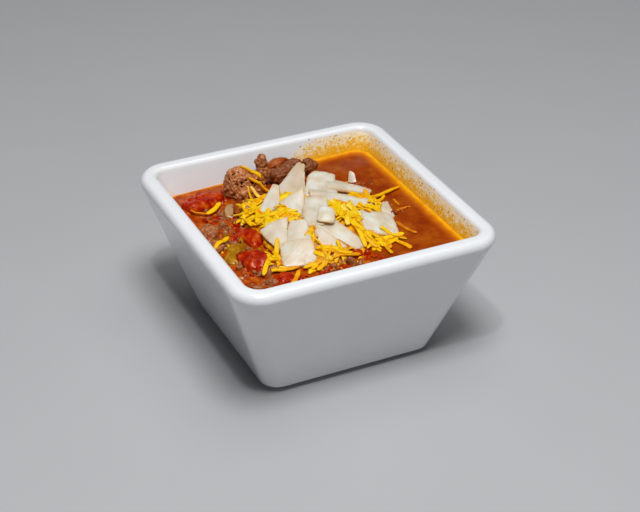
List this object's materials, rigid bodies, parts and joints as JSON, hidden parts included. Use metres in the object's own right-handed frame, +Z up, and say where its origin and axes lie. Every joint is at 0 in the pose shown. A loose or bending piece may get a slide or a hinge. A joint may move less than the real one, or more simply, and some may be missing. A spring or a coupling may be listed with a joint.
{
  "type": "chili con carne in a square bowl",
  "caption": "Square tapered white porcelain bowl filled with chili con carne, topped with ground beef, beans, tomato, grated yellow cheese and cut onion.",
  "frame": {"origin": "middle of the bowl's foot, in the plane that it stands on", "axes": "+Z up; the bowl's sides lie along X and Y, with the beef at the -X, +Y corner and the clear broth at +X"},
  "size_m": [0.12, 0.12, 0.067],
  "materials": {
    "porcelain": "smooth white glaze",
    "chili": "oily orange-brown broth with an orange film at its edge",
    "cheese": "grated yellow and orange cheese, slightly waxy",
    "onion": "moist, slightly see-through white onion",
    "beef": "crumbly browned ground beef with wet glints",
    "bean": "smooth wet kidney bean skin",
    "tomato": "wet stewed tomato",
    "pepper": "wet stewed green pepper"
  },
  "bodies": {
    "root": {"bowl": "porcelain", "chili": "chili", "cheese_heap": "cheese", "onion_round": "onion", "onion_mid": "onion", "onion_tri_left": "onion", "onion_long": "onion", "onion_top_right": "onion", "onion_top_left": "onion", "onion_peak": "onion", "onion_wedge": "onion", "onion_front": "onion", "onion_fold": "onion", "onion_low_front": "onion", "onion_wedge_front": "onion", "onion_front_left": "onion", "onion_square": "onion", "onion_behind_square": "onion", "onion_upright": "onion", "onion_sunk": "onion", "beef_clump": "beef", "beef_nub": "beef", "beef_strip": "beef", "beef_low": "beef", "beef_left": "beef", "beef_small": "beef", "bean_back": "bean", "bean_right": "bean", "bean_left": "bean", "tomato_back": "tomato", "tomato_middle": "tomato", "tomato_front": "tomato", "tomato_corner": "tomato", "tomato_right": "tomato", "pepper_green": "pepper"}
  },
  "joints": []
}
